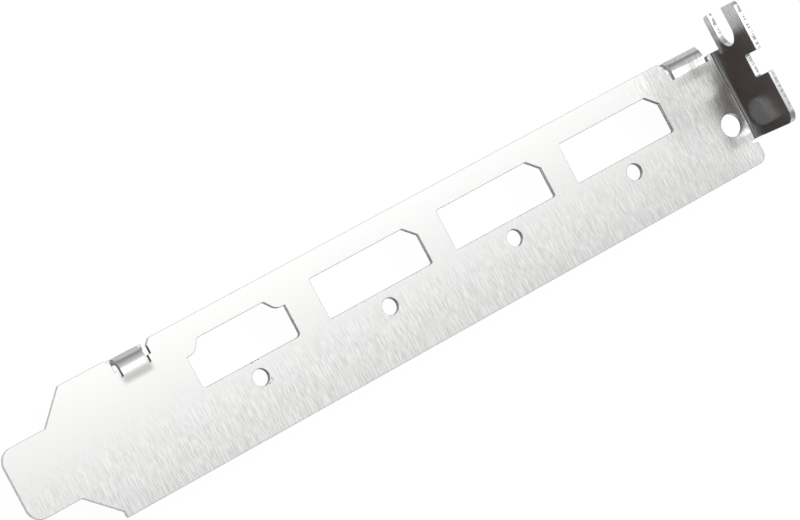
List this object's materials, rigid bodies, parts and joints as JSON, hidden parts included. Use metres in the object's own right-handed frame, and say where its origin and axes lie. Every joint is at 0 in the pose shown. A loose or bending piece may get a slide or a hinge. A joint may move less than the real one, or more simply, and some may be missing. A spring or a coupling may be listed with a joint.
{
  "type": "expansion slot bracket",
  "caption": "Folded steel bracket that holds a computer card in its case slot, with port windows, a slotted screw flange, bent card tabs and a narrow tongue.",
  "frame": {"origin": "axis of the chassis screw, at the round end of the open slot, on the flange face that sits on the chassis", "axes": "+X along the plate from the tongue to the flange, +Y across the plate towards the card tabs and the slot's open end, +Z out of the outer face"},
  "size_m": [0.1201, 0.0222, 0.0186],
  "materials": {
    "steel": "bare sheet, finely brushed across its width"
  },
  "bodies": {
    "root": {"bracket": "steel"}
  },
  "joints": []
}
